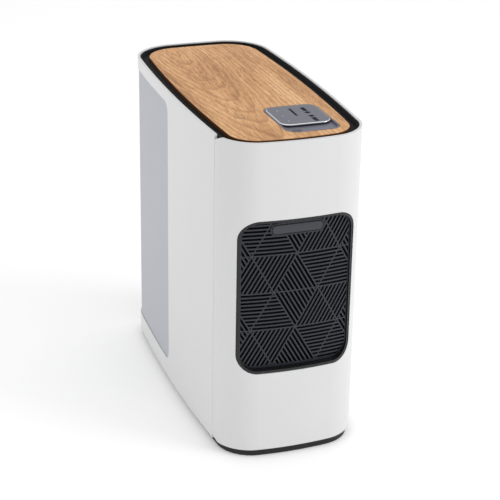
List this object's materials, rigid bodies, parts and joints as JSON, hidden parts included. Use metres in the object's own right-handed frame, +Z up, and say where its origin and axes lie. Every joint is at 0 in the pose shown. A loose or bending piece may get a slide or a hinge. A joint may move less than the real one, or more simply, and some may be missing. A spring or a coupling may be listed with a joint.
{
  "type": "network storage tower",
  "caption": "Compact storage tower with bowed white shells, wooden charging lid, top port block, slatted front grille and pull-out drive sleds.",
  "frame": {"origin": "middle of the footprint, on the surface that the feet stand on", "axes": "+X to the right seen from the front, +Y to the rear, +Z up"},
  "size_m": [0.177, 0.389, 0.376],
  "materials": {
    "white_shell": "gloss moulded, off-white",
    "vent_sheet": "perforated sheet, pale grey",
    "base_black": "textured moulded",
    "foot_rubber": "matte",
    "bezel_black": "satin moulded",
    "lid_wood": "oiled veneer",
    "coil_copper": "wound copper",
    "tray_grey": "satin moulded",
    "block_silver": "brushed, bright bevel",
    "light_lens": "frosted lens",
    "socket_metal": "stamped",
    "socket_plastic": "moulded",
    "grille_black": "satin moulded",
    "badge_grey": "satin moulded",
    "filter_mesh": "woven mesh",
    "chassis_steel": "black powder coat",
    "cage_steel": "zinc plated",
    "sled_plastic": "moulded",
    "drive_alloy": "cast and machined",
    "board_green": "solder mask",
    "connector_black": "moulded",
    "fan_plastic": "moulded",
    "cooler_alloy": "extruded",
    "fastener_steel": "zinc plated",
    "button_grey": "satin moulded"
  },
  "bodies": {
    "case": {"front_shell": "white_shell", "rear_shell": "white_shell", "right_side_panel": "white_shell", "right_vent_sheet": "vent_sheet", "base_tray": "base_black", "rubber_feet": "foot_rubber", "top_bezel": "bezel_black", "wood_lid": "lid_wood", "charging_coil": "coil_copper", "port_tray": "tray_grey", "port_block": "block_silver", "status_lights": "light_lens", "usb_sockets": "socket_metal", "usb_contacts": "socket_plastic", "audio_jacks": "connector_black", "card_slot": "socket_metal", "port_board": "board_green", "power_switch": "board_green", "grille_frame": "grille_black", "chassis_floor": "chassis_steel", "chassis_top": "chassis_steel", "board_wall": "chassis_steel", "chassis_front": "chassis_steel", "chassis_rear": "chassis_steel", "rear_shroud": "bezel_black", "drive_cage": "cage_steel", "backplane": "board_green", "drive_plugs": "connector_black", "fan_bracket": "cage_steel", "bay_fan_frame": "fan_plastic", "rear_fan_frame": "fan_plastic", "cooler_fan_frame": "fan_plastic", "main_board": "board_green", "processor": "socket_metal", "processor_cooler": "cooler_alloy", "memory_slots": "connector_black", "memory_modules": "board_green", "rear_ports": "socket_metal", "port_shield": "fastener_steel", "power_supply": "chassis_steel", "mains_inlet": "connector_black", "standoffs": "fastener_steel", "rear_screws": "fastener_steel"},
    "left_cover": {"left_side_panel": "white_shell", "left_vent_sheet": "vent_sheet"},
    "front_cover": {"front_grille": "grille_black", "badge_plate": "badge_grey", "dust_filter": "filter_mesh"},
    "power_key": {"power_button": "button_grey"},
    "bay_fan_wheel": {"bay_fan_rotor": "fan_plastic"},
    "rear_fan_wheel": {"rear_fan_rotor": "fan_plastic"},
    "cooler_fan_wheel": {"cooler_fan_rotor": "fan_plastic"},
    "sled_1": {"drive_sled_1": "sled_plastic", "hard_drive_1": "drive_alloy"},
    "sled_2": {"drive_sled_2": "sled_plastic", "hard_drive_2": "drive_alloy"},
    "sled_3": {"drive_sled_3": "sled_plastic", "hard_drive_3": "drive_alloy"},
    "sled_4": {"drive_sled_4": "sled_plastic", "hard_drive_4": "drive_alloy"}
  },
  "joints": [
    {"name": "left_cover_slide", "type": "slide", "parent": "case", "child": "left_cover", "axis": [-1, 0, 0], "range_m": [0, 0.15]},
    {"name": "front_cover_pull", "type": "slide", "parent": "case", "child": "front_cover", "axis": [0, -1, 0], "range_m": [0, 0.2]},
    {"name": "power_key_press", "type": "slide", "parent": "case", "child": "power_key", "axis": [0, 0, -1], "range_m": [0, 0.0012], "stiffness_N_per_m": 800, "springref_m": -0.001},
    {"name": "bay_fan_spin", "type": "hinge", "parent": "case", "child": "bay_fan_wheel", "pos_m": [0, 0.025, 0.1965], "axis": [0, 1, 0], "continuous": true},
    {"name": "rear_fan_spin", "type": "hinge", "parent": "case", "child": "rear_fan_wheel", "pos_m": [-0.0195, 0.155, 0.302], "axis": [0, 1, 0], "continuous": true},
    {"name": "cooler_fan_spin", "type": "hinge", "parent": "case", "child": "cooler_fan_wheel", "pos_m": [0.01, 0.0952, 0.27], "axis": [1, 0, 0], "continuous": true},
    {"name": "sled_1_slide", "type": "slide", "parent": "case", "child": "sled_1", "axis": [0, -1, 0], "range_m": [0, 0.15]},
    {"name": "sled_2_slide", "type": "slide", "parent": "case", "child": "sled_2", "axis": [0, -1, 0], "range_m": [0, 0.15]},
    {"name": "sled_3_slide", "type": "slide", "parent": "case", "child": "sled_3", "axis": [0, -1, 0], "range_m": [0, 0.15]},
    {"name": "sled_4_slide", "type": "slide", "parent": "case", "child": "sled_4", "axis": [0, -1, 0], "range_m": [0, 0.15]}
  ],
  "couplings": [
    {"joint": "sled_1_slide", "follows": "front_cover_pull", "ratio": 0.75},
    {"joint": "sled_2_slide", "follows": "front_cover_pull", "ratio": 0.75},
    {"joint": "sled_3_slide", "follows": "front_cover_pull", "ratio": 0.75},
    {"joint": "sled_4_slide", "follows": "front_cover_pull", "ratio": 0.75}
  ]
}
